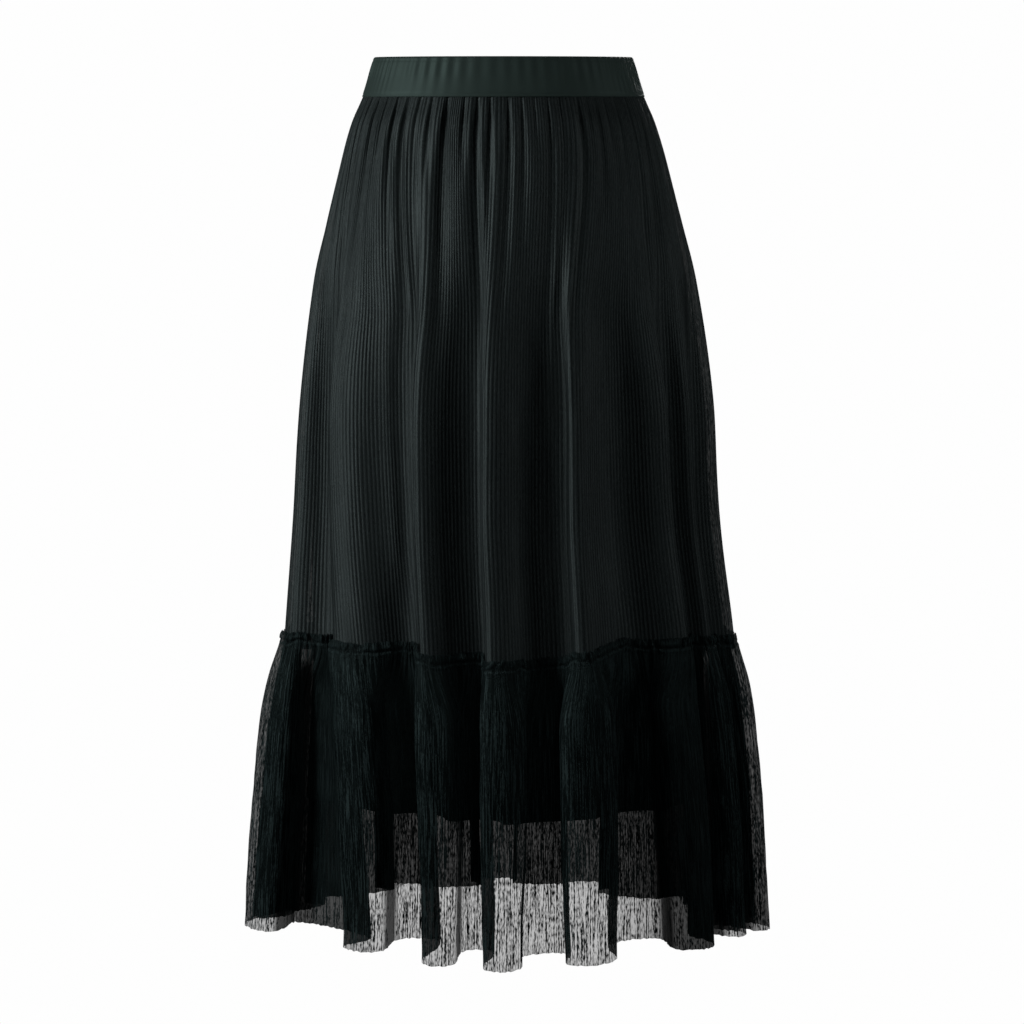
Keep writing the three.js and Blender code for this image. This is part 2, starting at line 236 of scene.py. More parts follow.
# %% Deep folds
FOLDS = table(
    "at hem_at start rise hem_rise lift hem_lift lean hem_lean narrow hem_narrow",
    (-106, -104, 150, 0.8, 0.9, 8, 3, 0, 0, 0, 0.1),
    (-79, -76, 60, 1, 1, 13, 13, -8, 0, 0, 0.1),
    (-48, -29.5, 50, 1, 1, 13, 13, 13, 8, -0.5, 0.75),
    (-19, -13, 40, 0.95, 1, 5, 4, 17, 9, 0.3, 0.25),
    (0, 0.9, 40, 1, 1, 0, 0, 13.5, 12, 0, 0.2),
    (22, 21.2, 40, 0.95, 1, 8, 4, 8, 13, 0.5, 0.15),
    (45, 50, 120, 0.85, 0.95, 15, 8, -12, 2, 0, -0.1),
    (63, 66, 140, 0.7, 0.75, 13, 9, 4, 0, 0.2, 0.1),
    (84, 83, 80, 1, 1, 8, 5, 0, 0, 0, 0.1),
    (104, 104, 160, 0.75, 0.8, 8, 3, 0, 0, 0, 0.1),
    (129, 131, 90, 0.9, 0.95, 8, 2, 12, 4, 0, 0.2),
    (160, 161, 120, 0.8, 0.85, 9, 9, 16, 8, 0.3, 0.3),
    (182, 182, 70, 1, 1, 10, 10, -10, -4, 0, 0.2),
    (205, 206, 110, 0.9, 1, 11, 8, -16, -8, 0.2, 0.2),
    (229, 231, 80, 0.85, 0.85, 8, 2, 8, 4, 0, 0.1),
)
FOLDS["at"] = np.radians(FOLDS["at"])
FOLDS["hem_at"] = np.radians(FOLDS["hem_at"])
print(len(FOLDS["at"]), "deep folds")

# %% [markdown]
# ## The form as functions
#
# The same few functions as in the solids give the form, written for whole grids of points
# at once: rows of the grid are drops and columns are angles.

# %% Blends and curves through a table


def blend(start, end, share):
    """start where share is 0, end where it is 1, and in between evenly."""
    return start + (end - start) * share


def smooth(value, low, high):
    """0 below low, 1 above high, and an S between them."""
    t = np.clip((value - low) / (high - low), 0, 1)
    return t * t * (3 - 2 * t)


def along(sections, column, drop):
    """One column of a section table at any drop, on a smooth curve through its rows."""
    at, value = sections["drop"], sections[column]
    last = len(at) - 1
    row = np.clip(np.searchsorted(at, drop) - 1, 0, last - 1)
    before = np.maximum(row - 1, 0)
    after = np.minimum(row + 2, last)
    span = at[row + 1] - at[row]
    t = np.clip((drop - at[row]) / span, 0, 1)
    slope_here = (value[row + 1] - value[before]) / (at[row + 1] - at[before])
    slope_next = (value[after] - value[row]) / (at[after] - at[row])
    return (
        value[row] * (1 + 2 * t) * (1 - t) ** 2
        + slope_here * span * t * (1 - t) ** 2
        + value[row + 1] * t * t * (3 - 2 * t)
        + slope_next * span * t * t * (t - 1)
    )


# %% [markdown]
# Every point lies between two ridges, and share says how far it is from the one to the
# next. Below RIDGES_TURN the ridges turn towards their places at the hem. Near the waist
# the cloth fans out: a thread that lies at the side of the hips comes from further round
# the waistband, by WAIST_FAN at most.

# %% Between two ridges
WAIST_FAN = math.radians(12)
FAN_ENDS = 240
RIDGES_TURN = 250
NEXT_TO_NOTHING = 1e-9


def fold_at(angle, drop):
    """The ridges on either side, the share between them, their spacing and the angle."""
    at, hem_at = FOLDS["at"], FOLDS["hem_at"]
    count = len(at)
    wrapped = (angle - at[0]) % (2 * np.pi) + at[0]
    here = np.searchsorted(at, wrapped + NEXT_TO_NOTHING, side="right") - 1
    next_one = (here + 1) % count
    closing = np.where(here == count - 1, 2 * np.pi, 0)
    share = (wrapped - at[here]) / (at[next_one] + closing - at[here])
    low = smooth(drop, RIDGES_TURN, RUFFLE_HEM)
    start = blend(at[here], hem_at[here], low)
    end = blend(at[next_one], hem_at[next_one], low) + closing
    turned = start + share * (end - start)
    fan = WAIST_FAN * (1 - smooth(drop, TIER_TOP, FAN_ENDS))
    return here, next_one, share, end - start, turned + fan * np.sin(2 * turned)


# %% [markdown]
# A fold seen from above is a wave. In the ruffle it swells into the shape of an omega, and
# in the tier hardly at all. Towards the hem its ridges grow narrower, and the ridge leans
# over while the trough stays.

# %% The shape of a fold
FOLDS_GROWN = 0.6 * SEAM_DROP
TIER_SWELL = 0.02
RUFFLE_SWELL = 0.13
RUFFLE_OPENS = 60
HEM_ZONE = 700
HEM_NARROWS = 0.3


def fold_shape(angle, drop):
    """A fold's height, from -1 in a trough to 1 on a ridge, its swell and its lean."""
    here, next_one, share, spacing, _ = fold_at(angle, drop)
    grown = smooth(drop, FOLDS["start"][here], FOLDS_GROWN)
    next_grown = smooth(drop, FOLDS["start"][next_one], FOLDS_GROWN)
    grown = blend(grown, next_grown, smooth(share, 0, 1))
    gathered = smooth(drop, SEAM_DROP, SEAM_DROP + RUFFLE_OPENS)

    def at_drop(column, low):
        here_now = blend(FOLDS[column][here], FOLDS["hem_" + column][here], low)
        next_now = blend(FOLDS[column][next_one], FOLDS["hem_" + column][next_one], low)
        return blend(here_now, next_now, smooth(share, 0, 1))

    rise = grown * at_drop("rise", smooth(drop, SEAM_DROP, RUFFLE_HEM))
    height = rise * np.cos(2 * np.pi * share)
    fuller = blend(TIER_SWELL, RUFFLE_SWELL, gathered) * np.sin(4 * np.pi * share)
    narrow = at_drop("narrow", gathered) + HEM_NARROWS * smooth(drop, HEM_ZONE, RUFFLE_HEM)
    narrow = narrow * np.sin(2 * np.pi * share) / (2 * np.pi)
    lean = at_drop("lean", gathered) * (1 + np.cos(2 * np.pi * share)) / 2
    return height, rise * spacing * (fuller - narrow), grown * lean


# %% [markdown]
# The stitch line and the hem don't hang level: some folds hold them up, and between the
# ridges the hem arches up a little. Where a fold leans, the step from one height to the
# next lies in its steep flank.

# %% How high the cloth hangs
LIFT_STARTS = 60
HEM_ARCH = 5


def lift_at(angle, drop):
    """How much higher than at the centre front the cloth hangs."""
    here, next_one, share, _, _ = fold_at(angle, drop)
    step = np.where(FOLDS["lean"][next_one] > 0, smooth(share, 0.5, 1), smooth(share, 0, 0.5))
    low = smooth(drop, SEAM_DROP, RUFFLE_HEM)
    lift_here = blend(FOLDS["lift"][here], FOLDS["hem_lift"][here], low)
    lift_next = blend(FOLDS["lift"][next_one], FOLDS["hem_lift"][next_one], low)
    lift = blend(lift_here, lift_next, step)
    arch = HEM_ARCH * low * (1 - fold_shape(angle, drop)[0]) / 2
    return lift * smooth(drop, LIFT_STARTS, SEAM_DROP) + arch


# %% [markdown]
# The surface starts from an oval with a front and a back depth of its own. Each fold moves
# it out along the oval's normal, and its swell and lean move it aside. follows is the
# share of each fold that a layer takes.

# %% The surface


def on_sections(sections, angle, drop, follows=1):
    """Points of the smooth surface seen from above, as x and y."""
    fold = along(sections, "fold", drop)
    width = along(sections, "width", drop) - fold
    _, _, _, _, turned = fold_at(angle, drop)
    front = along(sections, "front", drop)
    back = along(sections, "back", drop)
    depth = np.where(np.cos(turned) > 0, front, back) - fold
    height, swell, lean = fold_shape(angle, drop)
    normal_x = depth * np.sin(turned)
    normal_y = -width * np.cos(turned)
    length = np.hypot(normal_x, normal_y)
    out = fold * (follows * (height + 1) - 1) / length
    aside = follows * (swell - lean / length)
    x = along(sections, "sway", drop) + width * np.sin(turned)
    y = -depth * np.cos(turned)
    return x + normal_x * out - normal_y * aside, y + normal_y * out + normal_x * aside


# %% [markdown]
# Real cloth is never even. value_noise gives smooth hills and hollows from a coarse grid of
# seeded random numbers, which closes on itself round the body. round_noise is the same
# from top to bottom.

# %% Uneven cloth


def value_noise(seed, across, down, cells_across, cells_down):
    """Smooth noise from -1 to 1. across and down run from 0 to 1."""
    dice = np.random.default_rng(seed)
    grid = dice.uniform(-1, 1, (cells_down + 1, cells_across))
    x = across * cells_across
    y = np.clip(down, 0, 1) * cells_down
    column = np.floor(x).astype(int)
    row = np.minimum(np.floor(y).astype(int), cells_down - 1)
    right = smooth(x - column, 0, 1)
    lower = smooth(y - row, 0, 1)
    column, after = column % cells_across, (column + 1) % cells_across
    top = blend(grid[row, column], grid[row, after], right)
    bottom = blend(grid[row + 1, column], grid[row + 1, after], right)
    return blend(top, bottom, lower)


def round_noise(seed, across, cells):
    """Noise that changes round the body only."""
    return value_noise(seed, across, 0 * across, cells, 1)


# %% [markdown]
# A crease, a bunch of gathers or a row of stitches fades out like a bell on either side
# of its middle.

# %% Bells


def degrees_from(angle, at):
    """How far an angle lies from at, the shorter way round, in degrees."""
    return (np.degrees(angle) - at + 180) % 360 - 180


def bell(away, wide, power=2):
    """1 in the middle, fading out over wide. A higher power gives a flatter top."""
    return np.exp(-((away / wide) ** power))


# %% [markdown]
# The columns of a sheet are the cloth's own threads, so they lie at even steps along the
# cloth and not at even angles. even_angles measures one level of the surface and places
# them. The rows come in spans, close together where the form is fine.

# %% Threads at even steps
FINE_STEPS = 4001


def rows(*spans):
    """The drops of a sheet's rows. A span is a first and a last drop and a count."""
    return np.concatenate([np.linspace(*span) for span in spans])


def even_angles(surface, drop, columns):
    """Angles of the columns of a whole ring, the front half first, from -90 degrees."""
    halves = []
    for start in (-90, 90):
        fine = np.radians(np.linspace(start, start + 180, FINE_STEPS))
        x, y = surface(fine, np.full_like(fine, drop))
        length = np.concatenate([[0], np.cumsum(np.hypot(np.diff(x), np.diff(y)))])
        steps = np.linspace(0, length[-1], columns // 2 + 1)[:-1]
        halves.append(np.interp(steps, length, fine))
        print("half round at", drop, "is", round(length[-1]), "mm of cloth")
    return np.concatenate(halves)


# %% [markdown]
# Ribs, creases and gathers move the cloth straight out of its surface. The direction comes
# from the neighbours on either side. The same direction tells where a fold's flank is seen
# on edge, with the body's oval shape allowed for.

# %% Out of the surface
BODY_FLATNESS = 1.4


def round_direction(x, y):
    """The way the cloth runs round the body, from each point's neighbours."""
    along_x = np.roll(x, -1, axis=1) - np.roll(x, 1, axis=1)
    along_y = np.roll(y, -1, axis=1) - np.roll(y, 1, axis=1)
    return along_x, along_y


def offset_ring(x, y, out):
    """Moves a ring's points out along the plan normal of their level."""
    along_x, along_y = round_direction(x, y)
    length = np.hypot(along_x, along_y)
    return x + along_y / length * out, y - along_x / length * out


def edge_on(x, y):
    """1 where the cloth of a fold's flank runs straight out from the body, 0 on a ridge."""
    along_x, along_y = round_direction(x, y)
    out_x, out_y = x / BODY_FLATNESS, y * BODY_FLATNESS
    facing = along_y * out_x - along_x * out_y
    return 1 - np.clip(facing / np.hypot(along_x, along_y) / np.hypot(out_x, out_y), 0, 1)


# %% [markdown]
# A sheet becomes a mesh of squares with a UV map, whose u runs round the body and whose v
# runs up the cloth. The finishes read it, so their threads follow every fold.

# %% From a grid of points to a mesh


def cloth_mesh(name, points, v, ring=False, loop=False):
    """Squares between neighbouring rows and columns of points, facing outwards."""
    rows, columns = points.shape[:2]
    down = rows if loop else rows - 1
    across = columns if ring else columns - 1
    row, column = np.meshgrid(np.arange(down), np.arange(across), indexing="ij")
    corners = [(row, column), (row + 1, column), (row + 1, column + 1), (row, column + 1)]
    faces = [(i % rows) * columns + j % columns for i, j in corners]
    faces = np.stack(faces, axis=-1).reshape(-1, 4)
    uv = [np.stack([j / across, v[i]], axis=-1) for i, j in corners]
    uv = np.stack(uv, axis=-2).reshape(-1, 2)
    mesh = bpy.data.meshes.new(name)
    mesh.from_pydata((points.reshape(-1, 3) * MM).tolist(), [], faces.tolist())
    mesh.uv_layers.new(name="OFBake").data.foreach_set("uv", uv.ravel())
    mesh.shade_smooth()
    piece = bpy.data.objects.new(name, mesh)
    bpy.context.scene.collection.objects.link(piece)
    print(name, "has", 2 * len(faces), "triangles")
    return piece


# %% [markdown]
# Each ring of cloth is cut into a front and a back panel. A mark is a number for each
# point, such as 1 on a rib and 0 between two, that the finish of the piece reads.

# %% Front and back panels


def add_mark(piece, name, values):
    """A number for each point that a finish can read."""
    mark = piece.data.attributes.new(name, "FLOAT", "POINT")
    mark.data.foreach_set("value", values.astype(np.float32).ravel())


def halves_of(name, points, drops, marks):
    """Cuts a ring into its front and back pieces, which meet at the side seams."""
    middle = points.shape[1] // 2
    share = 1 - (drops - drops[0]) / (drops[-1] - drops[0])
    closed = {mark: np.concatenate([v, v[:, :1]], axis=1) for mark, v in marks.items()}
    points = np.concatenate([points, points[:, :1]], axis=1)
    made = []
    for half, columns in (("front", slice(0, middle + 1)), ("back", slice(middle, None))):
        piece = cloth_mesh(f"{name}_{half}", points[:, columns], share)
        for mark, values in closed.items():
            add_mark(piece, mark, values[:, columns])
        made.append(piece)
    return made


# %% [markdown]
# ## The upper tier
#
# The mesh is heat-set in fine ribs, and gathered into the waistband. The gathers leave
# narrow creases, some short and some running down into the troughs of the deep folds.
# Each row of the table is one crease: at is its angle, depth its depth in millimetres,
# reach the drop where it has faded and width its half width in degrees. The few that reach
# past the stitch line deepen the troughs of the deep folds.

# %% Creases under the waistband
FRONT_CREASES = table(
    "at depth reach width",
    (-83, 2.6, 190, 1.9),
    (-72, 2.4, 170, 1.9),
    (-63, 4.2, 330, 2.2),
    (-57, 9, 900, 3.2),
    (-48.5, 4.0, 200, 1.9),
    (-42, 2.4, 130, 1.7),
    (-35.7, 4.4, 210, 1.9),
    (-30.5, 3.8, 300, 1.8),
    (-25.5, 7, 900, 2.6),
    (-21, 2.6, 110, 1.6),
    (-16.2, 4.8, 350, 1.9),
    (-10.9, 2.8, 110, 1.7),
    (-7.2, 4.0, 340, 1.9),
    (-3.6, 3.2, 190, 1.6),
    (1.4, 3.2, 330, 1.7),
    (5.1, 2.6, 240, 1.7),
    (8.6, 1.4, 80, 1.6),
    (12.4, 2.6, 330, 1.8),
    (16.2, 4.5, 900, 2.2),
    (22.3, 2.6, 420, 1.9),
    (25.5, 1.4, 80, 1.7),
    (28.9, 2.2, 190, 1.8),
    (33, 1.4, 100, 1.8),
    (38.3, 2.0, 130, 1.9),
    (46.2, 2.6, 330, 2.0),
    (50, 1.6, 100, 1.8),
    (54.6, 3.2, 330, 2.1),
    (63, 2.2, 160, 1.9),
    (71, 2.8, 260, 1.9),
    (81, 2.4, 170, 1.9),
)
print(len(FRONT_CREASES["at"]), "creases in front")

# %% [markdown]
# The back has the same creases, turned round and a little wider apart. A crease is narrow
# and shallow at the waistband and opens below it. A long one starts so slowly that the
# cloth behind it has room.

# %% The depth of the creases
BACK_SPREAD = 1.04
BACK_TURN = 2
CREASE_AT_BAND = 0.35
CREASE_WIDENED = 120
FADES_FROM = 0.35
SHORT_START, SHORT_STARTED = 0.45, 40
LONG_START, LONG_STARTS, LONG_STARTED = 0.3, 90, 330

BACK_CREASES = {name: value.copy() for name, value in FRONT_CREASES.items()}
BACK_CREASES["at"] = 180 - FRONT_CREASES["at"] * BACK_SPREAD + BACK_TURN


def crease_depth(angle, drop):
    """How far the waist creases pull the cloth in, in millimetres."""
    depth = np.zeros(np.broadcast(angle, drop).shape)
    for creases in (FRONT_CREASES, BACK_CREASES):
        for at, deep, reach, wide in zip(*creases.values()):
            width = wide * blend(CREASE_AT_BAND, 1, smooth(drop, TIER_TOP, CREASE_WIDENED))
            fade = 1 - smooth(drop, reach * FADES_FROM, reach)
            start = blend(SHORT_START, 1, smooth(drop, TIER_TOP, SHORT_STARTED))
            if reach > SEAM_DROP:
                start = blend(LONG_START, 1, smooth(drop, LONG_STARTS, LONG_STARTED))
            pulled = deep * fade * start * bell(degrees_from(angle, at), width)
            depth = np.maximum(depth, pulled)
    return depth


# %% [markdown]
# In front and behind, the cloth swells out beside one of the creases before it turns in.
# That makes the trough narrow and puts it close to the next ridge. Each row is one
# swelling.

# %% Swellings of the upper tier
SWELLINGS = table(
    "at height width",
    (-36, 7, 4.5),
    (146, 6, 5),
)
SWELLS_OVER = (120, 300)
SWELLING_ENDS = (440, 540)


def swelling(angle, drop):
    """How far the cloth swells out beside a crease, in millimetres."""
    out = 0 * angle
    lasts = smooth(drop, *SWELLS_OVER) * (1 - smooth(drop, *SWELLING_ENDS))
    for at, height, wide in zip(*SWELLINGS.values()):
        out = out + height * lasts * bell(degrees_from(angle, at), wide)
    return out


# %% [markdown]
# The tier's sheet is a ring of columns, six to a rib. The rows lie closer together near the
# waistband, where the creases are. The sheet starts inside the band and ends behind the
# ruffle, so no gap shows.

# %% Rows and columns of the tier
TIER_RIBS = 372
COLUMNS_TO_A_RIB = 6
TIER_COLUMNS = COLUMNS_TO_A_RIB * TIER_RIBS
TIER_MEASURED_AT = 480

tier_drops = rows((16, 60, 14), (66, 240, 24), (252, 560, 26))


def tier_surface(angle, drop):
    return on_sections(TIER_SECTIONS, angle, drop)


tier_angles = even_angles(tier_surface, TIER_MEASURED_AT, TIER_COLUMNS)
angle, drop = np.meshgrid(tier_angles, tier_drops)
round_share = np.arange(TIER_COLUMNS)[None, :] / TIER_COLUMNS
down_share = (drop - TIER_TOP) / (SEAM_DROP - TIER_TOP)
print("the tier has", *angle.shape, "rows and columns")

# %% [markdown]
# A rib is a wave across the cloth. Its phase wanders a little and its height varies, as
# pleats do that were set by heat in a gathered cloth.

# %% The tier's ribs
RIB_HEIGHT = 0.56
RIB_WANDER = 1.1
RIB_MEAN, RIB_UNEVEN = 0.75, 0.35

wander = RIB_WANDER * value_noise(1, round_share, down_share, TIER_RIBS // 3, 7)
rib = 0.5 + 0.5 * np.cos(2 * np.pi * TIER_RIBS * round_share + wander)
uneven = value_noise(2, round_share, down_share, TIER_RIBS // 2, 9)
rib_strength = RIB_MEAN + RIB_UNEVEN * uneven
print("a rib stands", round(RIB_HEIGHT * rib_strength.max(), 2), "mm high at most")

# %% [markdown]
# Just under the band the gathers puff the cloth out. Above the band's lower edge the sheet
# is tucked in behind the casing. The crease mark makes the finish paint shade into the
# creases: the deeper the crease, the darker its colour.

# %% The tier's sheet
GATHER_PUFF = 1.9
PUFF_STARTS, PUFF_FULL, PUFF_ENDS = TIER_TOP - 4, 45, 150
TUCKED_IN = -1.2
FULL_SHADE_CREASE_DEPTH = 4

puff = (1 - smooth(drop, TIER_TOP, PUFF_ENDS)) * smooth(drop, PUFF_STARTS, PUFF_FULL)
crease = crease_depth(angle, drop)
tier_out = GATHER_PUFF * puff - crease + swelling(angle, drop) + RIB_HEIGHT * rib * rib_strength
tier_out = np.where(drop < TIER_TOP, TUCKED_IN, tier_out)
tier_x, tier_y = offset_ring(*tier_surface(angle, drop), tier_out)
tier_z = lift_at(angle, drop) - drop
flank = edge_on(*tier_surface(angle, drop))
# The crease mark is painted shade, darker where a crease is deeper.
tier_front, tier_back = halves_of(
    "tier_cloth",
    np.stack([tier_x, tier_y, tier_z], axis=-1),
    tier_drops,
    {"rib": rib, "crease": crease / FULL_SHADE_CREASE_DEPTH, "flank": flank},
)

# %% [markdown]
# ## The ruffle
#
# The ruffle is the same mesh, crinkled more and gathered onto the tier, with three columns
# to a crinkle. Its rows lie closest together at the stitch line. Above that line it lies
# on the tier, and below it has sections of its own.

# %% Rows and columns of the ruffle
RUFFLE_CRINKLES = 620
COLUMNS_TO_A_CRINKLE = 3
RUFFLE_COLUMNS = COLUMNS_TO_A_CRINKLE * RUFFLE_CRINKLES
HEADING = 8
GATHERS_OPEN = 30
RUFFLE_MEASURED_AT = 720

seam_rows = (SEAM_DROP - HEADING, SEAM_DROP + 6, 12)
ruffle_drops = rows(seam_rows, (561, 600, 8), (608, RUFFLE_HEM, 32))


def ruffle_surface(angle, drop):
    """The tier's surface above the stitch line, and the ruffle's own below it."""
    x, y = on_sections(RUFFLE_SECTIONS, angle, drop)
    above_x, above_y = tier_surface(angle, drop)
    above = drop < SEAM_DROP
    return np.where(above, above_x, x), np.where(above, above_y, y)


ruffle_angles = even_angles(ruffle_surface, RUFFLE_MEASURED_AT, RUFFLE_COLUMNS)
angle, drop = np.meshgrid(ruffle_angles, ruffle_drops)
round_share = np.arange(RUFFLE_COLUMNS)[None, :] / RUFFLE_COLUMNS
down_share = (drop - ruffle_drops[0]) / (RUFFLE_HEM - ruffle_drops[0])
below = smooth(drop, SEAM_DROP, SEAM_DROP + GATHERS_OPEN)
print("the ruffle has", *angle.shape, "rows and columns")

# %% [markdown]
# The crinkles are uneven: each one comes and goes down the cloth, and smaller ones cross
# it. Under the stitches small bunches and wider gathers swell out, and the bunches soon
# run out.

# %% Crinkles and gathers of the ruffle
CRINKLE_HEIGHT = 1.5
CRINKLE_AT_SEAM = 0.4
LARGE_CRINKLES, FINE_CRINKLES = 0.85, 0.35
BUNCH_HEIGHT, BUNCH_LENGTH = 1.5, 40
GATHER_HEIGHT, GATHER_LOSES, LOSES_FROM = 1.4, 0.6, 600

crinkle = value_noise(3, round_share, down_share, RUFFLE_CRINKLES, 7)
fine = value_noise(4, round_share, down_share, RUFFLE_CRINKLES * 3 // 2, 22)
crinkle = np.clip(LARGE_CRINKLES * crinkle + FINE_CRINKLES * fine, -1, 1)
crinkle = 0.5 + 0.5 * crinkle
bunch = 0.5 + 0.5 * round_noise(5, round_share, RUFFLE_CRINKLES)
gather = 0.5 + 0.5 * round_noise(8, round_share, RUFFLE_CRINKLES // 4)
bunch_out = BUNCH_HEIGHT * bunch * (1 - smooth(drop, SEAM_DROP, SEAM_DROP + BUNCH_LENGTH))
eased = 1 - GATHER_LOSES * smooth(drop, LOSES_FROM, RUFFLE_HEM)
gather_out = GATHER_HEIGHT * gather * below * eased
crinkle_out = CRINKLE_HEIGHT * crinkle * blend(CRINKLE_AT_SEAM, 1, below)
print("gathers swell out by", round((bunch_out + gather_out).max(), 2), "mm at most")

# %% [markdown]
# The upper edge of the ruffle stands above the stitch line as a frill of small uneven
# lumps, each a little aslant. heading is 0 at the stitches and 1 at the frill's edge.

# %% The frill above the stitches
LUMPS = 560
LUMP_HEIGHT = 4
LUMP_HOLLOW = 0.35
LUMP_AT_STITCHES = 0.15
SLANTS = 60
SLANT = 0.0035
FRILL_LEANS_IN = 1.2

heading = np.clip((SEAM_DROP - drop) / HEADING, 0, 1)
slant = SLANT * round_noise(10, round_share, SLANTS) * (drop - SEAM_DROP) / HEADING
lump = 0.5 + 0.5 * round_noise(9, (round_share + slant) % 1, LUMPS)
arched = np.sin(np.pi * blend(LUMP_AT_STITCHES, 1, heading))
frill_out = LUMP_HEIGHT * (lump - LUMP_HOLLOW) * arched - FRILL_LEANS_IN * heading
print("the frill has", LUMPS, "lumps, up to", round(frill_out.max(), 2), "mm out")

# %% [markdown]
# The line of stitches wanders. The stitches pinch the cloth, and just below them it rolls
# out again. Each stitch is four columns long and has a gap of two after it. The finish
# lightens the stitches' colour, a painted highlight, and closes the mesh there.

# %% Stitches
STITCH_WANDERS, WANDER_CELLS = 1.4, 230
STITCH_COLUMNS, STITCH_GAP = 6, 2
PINCH_DEPTH, PINCH_LEAST, PINCH_HEIGHT = 0.8, 0.4, 1.1
ROLL_LEAST, ROLL_UNEVEN = 0.1, 0.8
ROLL_BELOW, ROLL_HEIGHT = 2.8, 1.4
THREAD_BELOW, THREAD_HEIGHT = 2.4, 0.9

stitch_drop = SEAM_DROP + STITCH_WANDERS * round_noise(12, round_share, WANDER_CELLS)
pinch = PINCH_DEPTH * (PINCH_LEAST + lump) * bell(drop - stitch_drop, PINCH_HEIGHT)
roll = bell(drop - stitch_drop - ROLL_BELOW, ROLL_HEIGHT) * (ROLL_LEAST + ROLL_UNEVEN * lump)
in_stitch = np.arange(RUFFLE_COLUMNS)[None, :] % STITCH_COLUMNS < STITCH_COLUMNS - STITCH_GAP
stitch = bell(drop - stitch_drop - THREAD_BELOW, THREAD_HEIGHT) * in_stitch
print(RUFFLE_COLUMNS // STITCH_COLUMNS, "stitches")

# %% [markdown]
# In some places the gathers are packed so closely that the mesh lies double and lets
# little light through. There the finish also darkens the colour, a painted shade. Each row
# is one such place: its angle, its half width in degrees and how closed it is.

# %% Packed gathers
PACKED_GATHERS = table(
    "at wide strength",
    (-54, 11, 0.88),
    (50, 12.5, 0.9),
    (86, 14, 0.45),
    (-88, 12, 0.45),
    (-128, 10, 0.7),
    (130, 10, 0.7),
)
FLAT_TOPPED = 4

packed = 0 * angle
for at, wide, strength in zip(*PACKED_GATHERS.values()):
    away = degrees_from(fold_at(angle, drop)[4], at)
    packed = np.maximum(packed, strength * bell(away, wide, FLAT_TOPPED))
print(len(PACKED_GATHERS["at"]), "places with packed gathers")

# %% [markdown]
# The hem was cut and not sewn, so it is a little ragged. The frill's edge is uneven too,
# and the whole seam sags between the places where the gathers hold it up.

# %% Ragged edges
RAGGED_HEM, HEM_EDGE = 0.8, 8
RAGGED_LUMPS, RAGGED_FINE = 1.6, 0.8
SEAM_SAG, SAG_CELLS, SAG_HEIGHT = 1.5, 110, 14

hem_ragged = RAGGED_HEM * fine * smooth(drop, RUFFLE_HEM - HEM_EDGE, RUFFLE_HEM)
frill_ragged = (RAGGED_LUMPS * (lump - 0.5) + RAGGED_FINE * (fine - 0.5)) * heading
sag = SEAM_SAG * round_noise(11, round_share, SAG_CELLS) * bell(drop - SEAM_DROP, SAG_HEIGHT)
ragged = hem_ragged + frill_ragged + sag
print("the edges run", round(np.abs(ragged).max(), 2), "mm off level at most")

# %% [markdown]
# All of it is added up, on a sheet that lies a little outside the tier. The marks tell the
# finish where to paint shade, in the gaps between the lumps and at the pinch of the
# stitches, and where to paint highlights, on the lumps and the stitches.

# %% The ruffle's sheet
RUFFLE_OUTSIDE = 2.3
SEAM_MARK = 6
SEAM_PAINTED_SHADE, PAINTED_HIGHLIGHT_ON_LUMPS = 1.3, 0.8
LUMP_CONTRAST, LUMP_HOLLOWS = 2.2, 0.6

ruffle_out = RUFFLE_OUTSIDE + frill_out * (heading > 0) + bunch_out + gather_out
ruffle_out = ruffle_out + crinkle_out - pinch + roll
ruffle_x, ruffle_y = offset_ring(*ruffle_surface(angle, drop), ruffle_out)
ruffle_z = lift_at(angle, drop) - drop + ragged
at_seam = bell(drop - SEAM_DROP, SEAM_MARK)
lump_mark = np.clip(LUMP_CONTRAST * lump - LUMP_HOLLOWS, 0, 1)
# Painted highlight on the lumps, weaker where the stitches pinch them.
lump_highlight_painted = PAINTED_HIGHLIGHT_ON_LUMPS * at_seam * lump_mark * (1 - pinch / PINCH_DEPTH)
ruffle_front, ruffle_back = halves_of(
    "ruffle_cloth",
    np.stack([ruffle_x, ruffle_y, ruffle_z], axis=-1),
    ruffle_drops,
    {
        "rib": crinkle,
        # Here the crease mark is painted shade in the gaps between the lumps and at the pinch.
        "crease": SEAM_PAINTED_SHADE * np.maximum(at_seam * (1 - lump_mark), pinch),
        "flank": edge_on(*ruffle_surface(angle, drop)),
        "packed": packed,
        # The seam mark is a painted highlight on lumps and stitches, and closes the mesh there.
        "seam": np.clip(lump_highlight_painted + stitch, 0, 1),
    },
)

# %% [markdown]
# ## The lining
#
# The lining is plain thin cloth that hangs inside. It takes half of each fold in the tier
# and a fifth of it in the ruffle, hangs further in towards its hem, and follows half of the
# tier's lift. It is sewn in with the tier, so the creases under the waistband run through
# both. Its last row turns the hem.

# %% The lining's sheet
LINING_COLUMNS = 720
LINING_ROWS = 60
LINING_MEASURED_AT = 500
LINING_GAP = 2
LINING_HANG = 10
LINING_FOLLOWS, LINING_FOLLOWS_LOW = 0.5, 0.2
LINING_LEAVES = (SEAM_DROP - 100, SEAM_DROP + 40)
LINING_CREASED = 300
LINING_LIFT = 0.5

lining_drops = np.linspace(TIER_TOP - 2, LINING_HEM, LINING_ROWS)
lining_drops = np.append(lining_drops, LINING_HEM + 0.4)


def lining_surface(angle, drop):
    follows = blend(LINING_FOLLOWS, LINING_FOLLOWS_LOW, smooth(drop, *LINING_LEAVES))
    return on_sections(TIER_SECTIONS, angle, drop, follows)


